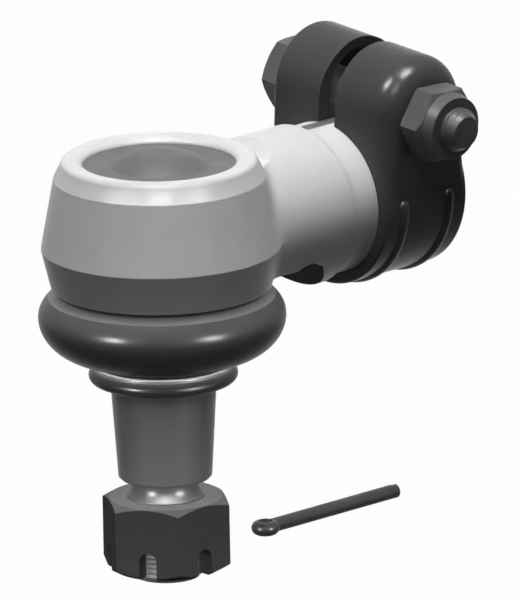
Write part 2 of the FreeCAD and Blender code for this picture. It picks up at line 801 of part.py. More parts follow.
pieces = {
    "housing": make_housing,
    "cover_plate": make_cover_plate,
    "disc_spring": make_disc_spring,
    "upper_bearing_shell": make_upper_shell,
    "lower_bearing_shell": make_lower_shell,
    "ball_stud": make_ball_stud,
    "boot_upper_ring": make_boot_upper_ring,
    "boot": make_boot,
    "support_washer": make_support_washer,
    "sealing_ring": make_sealing_ring,
    "castle_nut": make_castle_nut,
    "cotter_pin": make_cotter_pin,
    "clamp": make_clamp,
    "clamp_bolt": make_clamp_bolt,
    "clamp_nut": make_clamp_nut,
}

os.makedirs("parts", exist_ok=True)
for name, make in pieces.items():
    shape = make()
    shape.exportStep("parts/" + name + ".step")
    print(name, shape.isValid(), len(shape.Solids), round(shape.Volume / 1000, 2), "cm3")
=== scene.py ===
import json
import math
import bpy
import bmesh
from mathutils import Matrix, Vector

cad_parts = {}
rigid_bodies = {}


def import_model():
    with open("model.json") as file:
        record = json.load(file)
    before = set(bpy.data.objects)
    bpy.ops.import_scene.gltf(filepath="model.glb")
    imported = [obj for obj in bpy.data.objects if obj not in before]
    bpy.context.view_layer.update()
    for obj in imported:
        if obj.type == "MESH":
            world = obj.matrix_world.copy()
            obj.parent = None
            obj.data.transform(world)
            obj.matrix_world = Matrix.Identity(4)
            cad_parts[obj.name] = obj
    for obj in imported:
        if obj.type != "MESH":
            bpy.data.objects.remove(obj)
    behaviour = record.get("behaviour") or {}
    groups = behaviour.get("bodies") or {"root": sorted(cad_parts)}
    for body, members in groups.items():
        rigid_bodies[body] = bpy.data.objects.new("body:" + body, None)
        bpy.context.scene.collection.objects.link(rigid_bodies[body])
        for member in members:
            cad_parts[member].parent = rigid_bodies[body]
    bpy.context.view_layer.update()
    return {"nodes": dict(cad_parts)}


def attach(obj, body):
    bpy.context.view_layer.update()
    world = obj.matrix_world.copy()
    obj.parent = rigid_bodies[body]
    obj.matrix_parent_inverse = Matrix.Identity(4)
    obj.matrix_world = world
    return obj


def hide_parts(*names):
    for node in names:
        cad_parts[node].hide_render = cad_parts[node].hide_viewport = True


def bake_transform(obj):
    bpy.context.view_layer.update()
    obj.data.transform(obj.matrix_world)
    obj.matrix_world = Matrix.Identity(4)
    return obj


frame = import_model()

ballCentre = Vector((-0.1066, 0.0, 0.0))  # all three joints turn about this point
millimetre = 0.001  # the shape dictionaries are in millimetres, the looks in metres
print("angle ball joint: frame loaded,", len(frame["nodes"]), "nodes")


def addPiece(name, mesh, material, sharpAngle):
    piece = bpy.data.objects.new(name, mesh)
    bpy.context.scene.collection.objects.link(piece)
    mesh.materials.append(material)
    mesh.shade_smooth()
    mesh.set_sharp_from_angle(angle=math.radians(sharpAngle))
    return piece


def bakeModifiers(piece):
    bpy.context.view_layer.update()
    evaluated = piece.evaluated_get(bpy.context.evaluated_depsgraph_get())
    piece.data = bpy.data.meshes.new_from_object(evaluated)
    piece.modifiers.clear()


def ringMesh(name, rings, closed):
    mesh = bpy.data.meshes.new(name)
    builder = bmesh.new()
    rows = []
    for ring in rings:
        if len(ring) == 1:  # a pole
            rows.append([builder.verts.new(ring[0])])
        else:
            rows.append([builder.verts.new(point) for point in ring])
    pairs = list(zip(rows, rows[1:]))
    if closed:
        pairs.append((rows[-1], rows[0]))
    for first, second in pairs:
        for step in range(max(len(first), len(second))):
            corners = []
            square = ((first, step), (first, step + 1), (second, step + 1), (second, step))
            for row, index in square:
                vert = row[index % len(row)]
                if vert not in corners:
                    corners.append(vert)
            if len(corners) > 2:
                builder.faces.new(corners)
    bmesh.ops.recalc_face_normals(builder, faces=builder.faces)
    builder.to_mesh(mesh)
    builder.free()
    return mesh


def turnedRings(profile, steps, offset=None):  # profile of radius and height about the stud
    rings = []
    for radius, height in profile:
        if radius == 0:
            rings.append([ballCentre + Vector((0, 0, height * millimetre))])
            continue
        ring = []
        for step in range(steps):
            angle = 2 * math.pi * step / steps
            reach = radius + (offset(angle, radius, height) if offset else 0.0)
            around = Vector((math.cos(angle) * reach, math.sin(angle) * reach, height))
            ring.append(ballCentre + around * millimetre)
        rings.append(ring)
    return rings


def addNode(tree, kind, **settings):
    node = tree.nodes.new(kind)
    for name, value in settings.items():
        setattr(node, name, value)
    return node


def mathNode(tree, operation, first, second=None, clamp=False):
    node = addNode(tree, "ShaderNodeMath", operation=operation, use_clamp=clamp)
    for index, value in enumerate((first, second)):
        if value is None:
            continue
        if isinstance(value, (int, float)):
            node.inputs[index].default_value = value
        else:
            tree.links.new(value, node.inputs[index])
    return node.outputs[0]


grainLook = {  # how noise is read, the same for every finish
    "broadDetail": 4.0, "fineDetail": 2.0, "noiseRoughness": 0.55, "middle": (0.3, 0.7),
    "patch": (0.35, 0.65), "speck": (0.62, 0.72), "speckAmount": 0.3, "worn": (0.3, 0.6),
    "wornLeast": 0.3, "roughSpread": 0.08, "bumpStrength": 0.4, "bend": (0.02, 0.2),
    "bevelSamples": 4, "plainSpecular": 0.4, "plainWear": 0.5,
}


def noiseField(tree, coordinates, scale, detail):
    noise = addNode(tree, "ShaderNodeTexNoise")
    noise.inputs["Scale"].default_value = scale
    noise.inputs["Detail"].default_value = detail
    noise.inputs["Roughness"].default_value = grainLook["noiseRoughness"]
    tree.links.new(coordinates, noise.inputs["Vector"])
    return noise.outputs["Fac"]


def rangeOf(tree, value, low, high, newLow, newHigh):
    node = addNode(tree, "ShaderNodeMapRange")
    tree.links.new(value, node.inputs["Value"])
    sockets = {"From Min": low, "From Max": high, "To Min": newLow, "To Max": newHigh}
    for name, number in sockets.items():
        node.inputs[name].default_value = number
    return node.outputs[0]


def blendColours(tree, factor, first, second):
    node = addNode(tree, "ShaderNodeMix", data_type="RGBA")
    tree.links.new(factor, node.inputs["Factor"])
    for socket, value in ((node.inputs[6], first), (node.inputs[7], second)):  # A and B
        if isinstance(value, tuple):
            socket.default_value = value + (1.0,)
        else:
            tree.links.new(value, socket)
    return node.outputs[2]


def edgeMask(tree, radius):
    bevel = addNode(tree, "ShaderNodeBevel", samples=grainLook["bevelSamples"])
    bevel.inputs["Radius"].default_value = radius
    geometry = addNode(tree, "ShaderNodeNewGeometry")
    dot = addNode(tree, "ShaderNodeVectorMath", operation="DOT_PRODUCT")
    tree.links.new(bevel.outputs[0], dot.inputs[0])
    tree.links.new(geometry.outputs["Normal"], dot.inputs[1])
    bend = mathNode(tree, "SUBTRACT", 1.0, dot.outputs["Value"])
    return rangeOf(tree, bend, *grainLook["bend"], 0.0, 1.0), bevel.outputs[0]


def zoneMask(tree, zone):  # a band of heights, out to a radius about the stud, for painted shade and painted light
    apart = addNode(tree, "ShaderNodeSeparateXYZ")
    tree.links.new(addNode(tree, "ShaderNodeTexCoord").outputs["Object"], apart.inputs[0])
    blur = zone["blur"]
    across = mathNode(tree, "SUBTRACT", apart.outputs["X"], ballCentre.x)
    square = mathNode(tree, "MULTIPLY", across, across)
    aside = mathNode(tree, "MULTIPLY", apart.outputs["Y"], apart.outputs["Y"])
    radius = mathNode(tree, "SQRT", mathNode(tree, "ADD", square, aside))
    above = rangeOf(tree, apart.outputs["Z"], zone["low"] - blur, zone["low"], 0.0, 1.0)
    below = rangeOf(tree, apart.outputs["Z"], zone["high"], zone["high"] + blur, 1.0, 0.0)
    inside = rangeOf(tree, radius, zone["radius"], zone["radius"] + blur, 1.0, 0.0)
    mask = mathNode(tree, "MULTIPLY", mathNode(tree, "MULTIPLY", above, below), inside)
    return mathNode(tree, "MULTIPLY", mask, zone["share"])


def surfaceMaterial(name, look):
    material = bpy.data.materials.new(name)
    material.use_nodes = True
    tree = material.node_tree
    shader = tree.nodes["Principled BSDF"]
    shader.inputs["Metallic"].default_value = look.get("metallic", 0.0)
    specular = look.get("specular", grainLook["plainSpecular"])
    shader.inputs["Specular IOR Level"].default_value = specular
    coordinates = addNode(tree, "ShaderNodeTexCoord").outputs["Object"]
    broad = noiseField(tree, coordinates, look["broadScale"], grainLook["broadDetail"])
    fine = noiseField(tree, coordinates, look["fineScale"], grainLook["fineDetail"])
    patches = rangeOf(tree, broad, *grainLook["patch"], 0.0, 1.0)
    colour = blendColours(tree, patches, look["colour"], look["shade"])
    specks = rangeOf(tree, fine, *grainLook["speck"], 0.0, grainLook["speckAmount"])
    colour = blendColours(tree, specks, colour, look["speck"])
    fineSwing = rangeOf(tree, fine, *grainLook["middle"], -0.5, 0.5)
    broadSwing = rangeOf(tree, broad, *grainLook["middle"], -0.5, 0.5)
    rough = mathNode(tree, "ADD", fineSwing, broadSwing)
    rough = mathNode(tree, "MULTIPLY", rough, grainLook["roughSpread"])
    rough = mathNode(tree, "ADD", rough, look["roughness"], clamp=True)
    bump = addNode(tree, "ShaderNodeBump")
    bump.inputs["Strength"].default_value = grainLook["bumpStrength"]
    bump.inputs["Distance"].default_value = look["grain"]
    tree.links.new(fine, bump.inputs["Height"])
    if "edge" in look:
        wear, rounded = edgeMask(tree, look["edge"])
        worn = mathNode(tree, "MULTIPLY", wear, look.get("wear", grainLook["plainWear"]))
        uneven = rangeOf(tree, broad, *grainLook["worn"], grainLook["wornLeast"], 1.0)
        worn = mathNode(tree, "MULTIPLY", worn, uneven)
        colour = blendColours(tree, worn, colour, look["wornColour"])
        tree.links.new(rounded, bump.inputs["Normal"])
    # zones paint shade or light in a band
    for zone in look.get("zones", ()):
        colour = blendColours(tree, zoneMask(tree, zone), colour, zone["colour"])
    tree.links.new(colour, shader.inputs["Base Color"])
    tree.links.new(rough, shader.inputs["Roughness"])
    tree.links.new(bump.outputs[0], shader.inputs["Normal"])
    return material


housingLook = {  # pale plating; the zone is painted shade, a dark line where the eye meets the boot
    "colour": (0.80, 0.80, 0.79), "shade": (0.755, 0.758, 0.752), "speck": (0.64, 0.645, 0.64),
    "broadScale": 45.0, "fineScale": 1400.0, "roughness": 0.38, "specular": 0.12,
    "grain": 0.00006, "edge": 0.0005, "wear": 0.35, "wornColour": (0.87, 0.87, 0.86),
    "zones": [{
        "low": -0.0200, "high": -0.0135, "radius": 0.0346, "blur": 0.0001,
        "share": 0.95, "colour": (0.012, 0.012, 0.012),
    }],
}
rampShadeLook = {  # painted shade: a dark colour on the ramp under the arm, which faces down
    "colour": (0.34, 0.34, 0.34), "shade": (0.28, 0.28, 0.28), "speck": (0.40, 0.40, 0.40),
    "broadScale": 60.0, "fineScale": 900.0, "roughness": 0.6, "specular": 0.0, "grain": 0.00008,
}
# painted light: a paler colour for the bolt's shank between the ears, which lie in shade
boltShankLightLook = {
    "colour": (0.62, 0.62, 0.61), "shade": (0.56, 0.56, 0.55), "speck": (0.68, 0.68, 0.67),
    "broadScale": 90.0, "fineScale": 1900.0, "roughness": 0.4, "specular": 0.1, "grain": 0.00003,
}
coverLook = {
    "colour": (0.174, 0.177, 0.173), "shade": (0.150, 0.153, 0.150), "speck": (0.27, 0.27, 0.262),
    "broadScale": 70.0, "fineScale": 2200.0, "roughness": 0.5, "specular": 0.12,
    "grain": 0.00003, "edge": 0.0004, "wornColour": (0.33, 0.33, 0.32),
}
springLook = {
    "colour": (0.30, 0.31, 0.33), "shade": (0.22, 0.23, 0.26), "speck": (0.12, 0.12, 0.12),
    "broadScale": 90.0, "fineScale": 1800.0, "roughness": 0.3, "metallic": 0.9,
    "grain": 0.00002, "edge": 0.0003, "wornColour": (0.6, 0.6, 0.6),
}
shellLook = {
    "colour": (0.72, 0.70, 0.62), "shade": (0.68, 0.66, 0.57), "speck": (0.60, 0.57, 0.48),
    "broadScale": 60.0, "fineScale": 1500.0, "roughness": 0.38,
    "grain": 0.00002, "edge": 0.0003, "wornColour": (0.78, 0.76, 0.7),
}
studLook = {
    "colour": (0.72, 0.712, 0.722), "shade": (0.66, 0.652, 0.662), "speck": (0.60, 0.60, 0.59),
    "broadScale": 80.0, "fineScale": 900.0, "roughness": 0.36, "specular": 0.065,
    "grain": 0.00003, "edge": 0.0003, "wornColour": (0.80, 0.80, 0.79),
}
rubberLook = {  # the zone is painted light, a paler strip along the boot's top
    "colour": (0.140, 0.140, 0.140), "shade": (0.122, 0.122, 0.122), "speck": (0.15, 0.15, 0.148),
    "broadScale": 60.0, "fineScale": 1600.0, "roughness": 0.30, "specular": 0.03, "grain": 0.00003,
    "zones": [{
        "low": -0.0166, "high": -0.0100, "radius": 0.0360, "blur": 0.0002,
        "share": 0.9, "colour": (0.30, 0.30, 0.30),
    }],
}
sealLook = {
    "colour": (0.205, 0.205, 0.205), "shade": (0.18, 0.18, 0.18), "speck": (0.24, 0.24, 0.238),
    "broadScale": 70.0, "fineScale": 1800.0, "roughness": 0.34, "specular": 0.045, "grain": 0.00002,
}
washerLook = {
    "colour": (0.84, 0.84, 0.82), "shade": (0.79, 0.80, 0.79), "speck": (0.66, 0.66, 0.64),
    "broadScale": 90.0, "fineScale": 2400.0, "roughness": 0.25, "specular": 0.07, "metallic": 0.1,
    "grain": 0.00001, "edge": 0.0002, "wornColour": (0.9, 0.9, 0.88),
}
nutLook = {
    "colour": (0.168, 0.172, 0.166), "shade": (0.148, 0.152, 0.146), "speck": (0.21, 0.215, 0.205),
    "broadScale": 80.0, "fineScale": 1900.0, "roughness": 0.42, "specular": 0.0,
    "grain": 0.00003, "edge": 0.0004, "wear": 0.1, "wornColour": (0.24, 0.24, 0.225),
}
pinLook = {
    "colour": (0.19, 0.19, 0.188), "shade": (0.16, 0.16, 0.158), "speck": (0.25, 0.25, 0.245),
    "broadScale": 120.0, "fineScale": 2500.0, "roughness": 0.36, "specular": 0.05,
    "grain": 0.00002, "edge": 0.0002, "wornColour": (0.34, 0.34, 0.33),
}
clampLook = {
    "colour": (0.088, 0.088, 0.087), "shade": (0.076, 0.076, 0.075), "speck": (0.125, 0.125, 0.122),
    "broadScale": 50.0, "fineScale": 1300.0, "roughness": 0.25, "specular": 0.05,
    "grain": 0.00004, "edge": 0.0006, "wear": 0.12, "wornColour": (0.19, 0.19, 0.185),
}
boltLook = {
    "colour": (0.142, 0.146, 0.138), "shade": (0.122, 0.126, 0.118), "speck": (0.19, 0.19, 0.18),
    "broadScale": 90.0, "fineScale": 1900.0, "roughness": 0.36, "specular": 0.06,
    "grain": 0.00003, "edge": 0.0004, "wear": 0.1, "wornColour": (0.28, 0.28, 0.26),
}

housingCoat = surfaceMaterial("housingCoat", housingLook)
rampPaintedShade = surfaceMaterial("rampPaintedShade", rampShadeLook)
boltShankPaintedLight = surfaceMaterial("boltShankPaintedLight", boltShankLightLook)
coverPhosphate = surfaceMaterial("coverPhosphate", coverLook)
springSteel = surfaceMaterial("springSteel", springLook)
shellPlastic = surfaceMaterial("shellPlastic", shellLook)
studSteel = surfaceMaterial("studSteel", studLook)
bootRubber = surfaceMaterial("bootRubber", rubberLook)
sealRubber = surfaceMaterial("sealRubber", sealLook)
washerZinc = surfaceMaterial("washerZinc", washerLook)
castleNutOxide = surfaceMaterial("castleNutOxide", nutLook)
splitPinSteel = surfaceMaterial("splitPinSteel", pinLook)
clampEnamel = surfaceMaterial("clampEnamel", clampLook)
clampBoltOxide = surfaceMaterial("clampBoltOxide", boltLook)

nodeMaterials = {
    "housing": housingCoat,
    "cover_plate": coverPhosphate,
    "disc_spring": springSteel,
    "upper_bearing_shell": shellPlastic,
    "lower_bearing_shell": shellPlastic,
    "ball_stud": studSteel,
    "boot": bootRubber,
    "boot_upper_ring": springSteel,
    "support_washer": washerZinc,
    "sealing_ring": sealRubber,
    "castle_nut": castleNutOxide,
    "cotter_pin": splitPinSteel,
    "clamp": clampEnamel,
    "clamp_bolt": clampBoltOxide,
    "clamp_nut": clampBoltOxide,
}
for nodeName, material in nodeMaterials.items():
    for slot in frame["nodes"][nodeName].material_slots:
        slot.link = "OBJECT"
        slot.material = material
print("angle ball joint: materials laid on the CAD pieces")

rimSizes = {  # "cast" is the CAD rim, the others give the rolled one
    "castRadius": 28.42, "castWidth": 4.46, "castHeight": 22.9, "castDrop": 4.62,
    "castInnerRadius": 28.458, "castInnerHeight": 22.146, "castInnerCurve": 5.37,
    "base": 21.45, "edgeRadius": 32.96, "flare": 1.1, "waist": 26.1, "waistRadius": 30.75,
    "roll": 24.68, "rollRadius": 31.057, "crest": 27.5, "crestRadius": 28.4, "crestGap": 0.02,
    "seat": 25.3, "innerRadius": 23.75, "innerCrest": 27.9, "fullness": 2.2,
    "reach": 0.12, "slopeStep": 0.05,
}
rampSizes = {"top": -12, "far": -60, "near": -45, "facing": -0.6, "level": 0.1}


def castRim(height):  # outer radius that the CAD rim has at this height
    drop = min(max((height - rimSizes["castHeight"]) / rimSizes["castDrop"], -1.0), 1.0)
    return rimSizes["castRadius"] + rimSizes["castWidth"] * math.sqrt(1 - drop ** 2)


def castInner(height):  # inner radius that the CAD rim has at this height
    curve = rimSizes["castInnerCurve"]
    rise = min(max((height - rimSizes["castInnerHeight"]) / curve, -1.0), 1.0)
    return rimSizes["castInnerRadius"] - curve * math.sqrt(1 - rise ** 2)


def rolledRim(height):
    sizes = rimSizes
    if height < sizes["waist"]:
        share = (sizes["waist"] - height) / (sizes["waist"] - sizes["base"])
        spread = sizes["edgeRadius"] - sizes["waistRadius"]
        return sizes["waistRadius"] + spread * share ** sizes["flare"]
    top = sizes["crest"] + sizes["crestGap"] - sizes["roll"]
    share = min((height - sizes["roll"]) / top, 1.0)
    reach = math.sqrt(1 - share ** sizes["fullness"])
    return sizes["crestRadius"] + (sizes["rollRadius"] - sizes["crestRadius"]) * reach


def rolledInner(height):
    sizes = rimSizes
    top = sizes["crest"] + sizes["crestGap"] - sizes["seat"]
    share = min(max((height - sizes["seat"]) / top, 0.0), 1.0)
    reach = 1 - math.sqrt(1 - share ** sizes["fullness"])
    return sizes["innerRadius"] + (sizes["innerCrest"] - sizes["innerRadius"]) * reach


def rimPoint(radius, height):  # new radius, slope and side of a point of the rim, or nothing
    step = rimSizes["slopeStep"]
    for cast, rolled, side in ((castRim, rolledRim, 1), (castInner, rolledInner, -1)):
        low = rimSizes["base"] if side > 0 else rimSizes["seat"]
        onRim = abs(radius - cast(height)) < rimSizes["reach"]
        if low < height < rimSizes["crest"] - step and onRim:
            slope = (rolled(height - step) - rolled(height + step)) / (2 * step)
            return rolled(height), slope, side
    return None


def makeForgedHousing():
    cast = frame["nodes"]["housing"]
    mesh = cast.data.copy()
    mesh.transform(cast.matrix_world)
    normals = [Vector(corner.vector) for corner in mesh.corner_normals]
    moved = {}
    for vert in mesh.vertices:
        place = (vert.co - ballCentre) / millimetre
        radius = math.hypot(place.x, place.y)
        found = rimPoint(radius, place.z)
        if not found:
            continue
        fresh, slope, side = found
        outward = Vector((place.x / radius, place.y / radius, 0))
        vert.co = ballCentre + (outward * fresh + Vector((0, 0, place.z))) * millimetre
        moved[vert.index] = (outward * side + Vector((0, 0, slope * side))).normalized()
    for loop in mesh.loops:
        if loop.vertex_index in moved:
            normals[loop.index] = moved[loop.vertex_index]
    mesh.normals_split_custom_set(normals)
    piece = bpy.data.objects.new("forgedHousing", mesh)
    bpy.context.scene.collection.objects.link(piece)
    mesh.materials.clear()
    mesh.materials.append(housingCoat)
    # the second coat is painted shade for the ramp
    mesh.materials.append(rampPaintedShade)
    for face in mesh.polygons:
        place = face.center / millimetre
        under = face.normal.x < rampSizes["facing"] and face.normal.z < rampSizes["level"]
        if under and place.z < rampSizes["top"] and rampSizes["far"] < place.x < rampSizes["near"]:
            face.material_index = 1  # painted shade on the ramp below the arm
    print("angle ball joint: housing forged,", len(moved), "rim points rolled")
    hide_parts("housing")
    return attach(piece, "housing_body")


makeForgedHousing()

bootLook = {
    "widest": 38.5, "foldWidth": 15.9, "foldRise": 10.6, "foldFall": 13.0, "foldHeight": -23.03,
    "wall": 2.2, "shoulderAngle": 37.0, "innerAngle": 32.0, "steps": 224, "sharpAngle": 14,
    "bead": [(30.05, -14.95), (30.25, -14.75), (31.4, -14.75)], "top": (31.7, -14.75),
    "crease": 0.25, "topSteps": 7, "shoulderSteps": 14, "foldSteps": 30,
    "lip": [(22.1, -36.3), (21.75, -36.9), (21.5, -37.6), (21.3, -38.0), (21.1, -38.2)],
    "grooves": 3, "grooveRadius": 20.4, "grooveApart": 1.1, "grooveWidths": (0.4, 0.15),
    "grooveTop": -37.95, "underside": -38.2, "wallSteps": 24, "innerSteps": 8,
    "bore": [(17.45, -38.2), (17.3, -38.05), (17.3, -36.2), (17.45, -36.03)],
    "beadInside": [(30.25, -18.53), (30.05, -18.3), (30.05, -17.2), (30.05, -16.2)],
    "seam": 0.09, "seamWidth": 0.7, "seamFrom": 23, "bendFrom": -16.5, "bendTo": -36.0,
}


def bootFold(inset, degrees):
    turn = math.radians(degrees)
    height = bootLook["foldRise"] if degrees > 0 else bootLook["foldFall"]
    middle = bootLook["widest"] - bootLook["foldWidth"]
    across = middle + (bootLook["foldWidth"] - inset) * math.cos(turn)
    return across, bootLook["foldHeight"] + (height - inset) * math.sin(turn)


def bootSeam(angle, radius, height):  # the mould's parting line, on both sides
    if radius <= bootLook["seamFrom"]:
        return 0.0
    nearest = min(abs(angle - math.pi / 2), abs(angle - 3 * math.pi / 2)) * radius
    return bootLook["seam"] * math.exp(-(nearest / bootLook["seamWidth"]) ** 2)


def makeDustBoot():
    look = bootLook
    shoulder = bootFold(0, look["shoulderAngle"])
    top = look["top"]
    fall = shoulder[1] - top[1] + look["crease"]
    profile = look["bead"] + [top]
    for step in range(1, look["topSteps"]):
        share = step / look["topSteps"]
        radius = top[0] + (shoulder[0] - top[0]) * share
        profile.append((radius, top[1] - look["crease"] + fall * share))
    for step in range(look["shoulderSteps"] + 1):
        profile.append(bootFold(0, look["shoulderAngle"] * (1 - step / look["shoulderSteps"])))
    for step in range(1, look["foldSteps"] + 1):
        profile.append(bootFold(0, -90 * step / look["foldSteps"]))
    profile += look["lip"]
    for groove in range(look["grooves"]):  # sealing lips on the underside
        middle = look["grooveRadius"] - groove * look["grooveApart"]
        wide, narrow = look["grooveWidths"]
        profile += [(middle + wide, look["underside"]), (middle + narrow, look["grooveTop"])]
        profile += [(middle - narrow, look["grooveTop"]), (middle - wide, look["underside"])]
    profile += look["bore"]
    for step in range(look["wallSteps"] + 1):
        profile.append(bootFold(look["wall"], -90 + 90 * step / look["wallSteps"]))
    for step in range(1, look["innerSteps"] + 1):
        profile.append(bootFold(look["wall"], look["innerAngle"] * step / look["innerSteps"]))
    profile += look["beadInside"]
    mesh = ringMesh("dustBoot", turnedRings(profile, look["steps"], bootSeam), True)
    boot = addPiece("dustBoot", mesh, bootRubber, look["sharpAngle"])
    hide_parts("boot")
    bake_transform(boot)


makeDustBoot()
print("angle ball joint: dust boot moulded")

coverSizes = {
    "radius": 26.25, "floor": 22.9, "top": 25.3, "steps": 160, "sharpAngle": 28,
    "domeRadius": 15.3, "domeRise": 4.9, "domeSteps": 26, "flat": (15.6, 18.0, 20.5, 23.0, 25.9),
    "hollowRadius": 13.9, "hollowSteps": 12, "hollowSpread": 1.1, "hollowShare": 0.93,
}


def domeRise(radius):
    across, rise = coverSizes["domeRadius"], coverSizes["domeRise"]
    ball = (across ** 2 + rise ** 2) / (2 * rise)
    return math.sqrt(ball ** 2 - min(radius, across) ** 2) - (ball - rise)


def makePressedCover():
    sizes = coverSizes
    radius, top, floor = sizes["radius"], sizes["top"], sizes["floor"]
    profile = [(0.0, top + sizes["domeRise"])]
    for step in range(1, sizes["domeSteps"] + 1):
        across = sizes["domeRadius"] * (step / sizes["domeSteps"])
        profile.append((across, top + domeRise(across)))
    profile += [(across, top) for across in sizes["flat"]]
    profile += [(radius - 0.1, top - 0.1), (radius, top - 0.35), (radius, floor + 0.3)]
    profile += [(radius - 0.3, floor), (sizes["hollowRadius"] + 0.1, floor)]
    for step in range(1, sizes["hollowSteps"]):
        across = sizes["hollowRadius"] * (1 - step / sizes["hollowSteps"])
        rise = domeRise(across * sizes["hollowSpread"]) * sizes["hollowShare"]
        profile.append((across, floor + rise))
    profile.append((0.0, floor + sizes["domeRise"] * sizes["hollowShare"]))
    mesh = ringMesh("pressedCover", turnedRings(profile, sizes["steps"]), False)
    cover = addPiece("pressedCover", mesh, coverPhosphate, sizes["sharpAngle"])
    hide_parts("cover_plate")
    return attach(cover, "housing_body")


makePressedCover()
print("angle ball joint: cover pressed")

studSizes = {
    "ball": 19.0, "flat": 17.8, "flatRadius": 6.3, "ballSteps": 56, "neck": 11.0,
    "neckRows": (-18.5, -22.0), "flareStart": -26.0, "flarePower": 2.4,
    "flareShares": (0.2, 0.4, 0.6, 0.75, 0.88, 1.0), "seat": 17.0, "seatTop": -34.83,
    "seatRows": (-35.2, -40.0, -44.0), "coneTop": -44.28, "coneLarge": 16.5,
    "coneSmall": 14.575, "coneBottom": -75.08, "coneEdge": 0.8, "coneSteps": 12,
    "relief": 10.4, "reliefRound": 0.5, "reliefStart": -75.5, "reliefEnd": -76.2,
    "reliefPower": 2.1, "reliefSteps": 12, "threadTop": -80.68, "end": -106.68,
    "thread": 12.0, "pitch": 1.5, "depth": 0.92, "runOut": 1.6, "threadRows": 168,
    "chamfer": 2.0, "steps": 192, "sharpAngle": 30,
    "centre": [(10.0, 0.0), (3.2, 0.0), (1.6, 2.7), (1.6, 5.0), (0.0, 5.9)],  # lathe centre
    "holeRadius": 2.5, "holeHeight": -100.58, "holeLength": 30, "holeSteps": 48,
}
threadForm = {"crest": 0.12, "flank": 0.7}  # shares of half a pitch, for the stud and the bolt


def threadDrop(phase, depth):
    share = abs((phase % 1.0) * 2 - 1)
    return depth * min(max((share - threadForm["crest"]) / threadForm["flank"], 0.0), 1.0)


def studThread(angle, radius, height):
    sizes = studSizes
    if not sizes["end"] < height < sizes["threadTop"]:
        return 0.0
    runOut = min((sizes["threadTop"] - height) / sizes["runOut"], 1.0)
    phase = height / sizes["pitch"] - angle / (2 * math.pi)
    return min(sizes["thread"] - threadDrop(phase, sizes["depth"]) * runOut, radius) - radius


def studProfile():
    sizes = studSizes
    neck, seat = sizes["neck"], sizes["seat"]
    profile = [(0.0, sizes["flat"]), (sizes["flatRadius"], sizes["flat"])]
    flatAngle = math.degrees(math.asin(sizes["flat"] / sizes["ball"]))
    neckAngle = -math.degrees(math.acos(neck / sizes["ball"]))
    for step in range(sizes["ballSteps"] + 1):
        turn = math.radians(flatAngle + (neckAngle - flatAngle) * step / sizes["ballSteps"])
        profile.append((sizes["ball"] * math.cos(turn), sizes["ball"] * math.sin(turn)))
    profile += [(neck, height) for height in sizes["neckRows"] + (sizes["flareStart"],)]
    for share in sizes["flareShares"]:
        width = (seat - neck) * share ** sizes["flarePower"]
        height = sizes["flareStart"] + (sizes["seatTop"] - sizes["flareStart"]) * share
        profile.append((neck + width, height))
    profile += [(seat, height) for height in sizes["seatRows"]]
    profile.append((sizes["coneLarge"], sizes["coneTop"]))
    coneEnd = sizes["coneBottom"] + sizes["coneEdge"]
    for step in range(1, sizes["coneSteps"]):
        share = step / sizes["coneSteps"]
        radius = sizes["coneLarge"] + (sizes["coneSmall"] - sizes["coneLarge"]) * share
        profile.append((radius, sizes["coneTop"] + (coneEnd - sizes["coneTop"]) * share))
    profile.append((sizes["coneSmall"], coneEnd))
    profile.append((sizes["coneSmall"] - sizes["coneEdge"], sizes["coneBottom"]))
    profile.append((sizes["relief"] + sizes["reliefRound"], sizes["coneBottom"]))
    profile += [(sizes["relief"], sizes["reliefStart"]), (sizes["relief"], sizes["reliefEnd"])]
    for step in range(1, sizes["reliefSteps"] + 1):
        share = step / sizes["reliefSteps"]
        width = (sizes["thread"] - sizes["relief"]) * share ** sizes["reliefPower"]
        height = sizes["reliefEnd"] + (sizes["threadTop"] - sizes["reliefEnd"]) * share
        profile.append((sizes["relief"] + width, height))
    for step in range(1, sizes["threadRows"]):
        share = step / sizes["threadRows"]
        height = sizes["threadTop"] + (sizes["end"] - sizes["threadTop"]) * share
        chamfered = sizes["thread"] - sizes["chamfer"] + height - sizes["end"]
        profile.append((min(sizes["thread"], chamfered), height))
    return profile + [(radius, sizes["end"] + rise) for radius, rise in sizes["centre"]]


def makePinDrill():
    sizes = studSizes
    mesh = bpy.data.meshes.new("pinDrill")
    builder = bmesh.new()
    lying = Matrix.Rotation(math.radians(90), 4, "Y")
    place = Matrix.Translation(ballCentre + Vector((0, 0, sizes["holeHeight"] * millimetre)))
    radius = sizes["holeRadius"] * millimetre
    bmesh.ops.create_cone(
        builder, cap_ends=True, segments=sizes["holeSteps"], radius1=radius, radius2=radius,
        depth=sizes["holeLength"] * millimetre, matrix=place @ lying,
    )
    builder.to_mesh(mesh)
    builder.free()
    drill = bpy.data.objects.new("pinDrill", mesh)
    bpy.context.scene.collection.objects.link(drill)
    return drill


def makeThreadedStud():
    sizes = studSizes
    mesh = ringMesh("threadedStud", turnedRings(studProfile(), sizes["steps"], studThread), False)
    stud = addPiece("threadedStud", mesh, studSteel, sizes["sharpAngle"])
    drill = makePinDrill()
    hole = stud.modifiers.new("pinHole", "BOOLEAN")
    hole.operation = "DIFFERENCE"
    hole.solver = "EXACT"
    hole.object = drill
    bakeModifiers(stud)
    bpy.data.objects.remove(drill)
    stud.data.set_sharp_from_angle(angle=math.radians(sizes["sharpAngle"]))
    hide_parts("ball_stud")
    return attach(stud, "stud_body")


makeThreadedStud()
print("angle ball joint: stud turned and threaded")

rodThreadSizes = {  # metres and radians, each one a socket of the tree
    "Pitch": 0.0015, "Middle Radius": 0.01402, "Thread Height": 0.00052, "Root Width": 0.00128,
    "Crest Width": 0.0002, "Turns": 30, "Steps": 120, "Slit Half Angle": math.radians(9.6),
    "First Turn": -0.0004,
}
rodThreadSharpAngle = 30


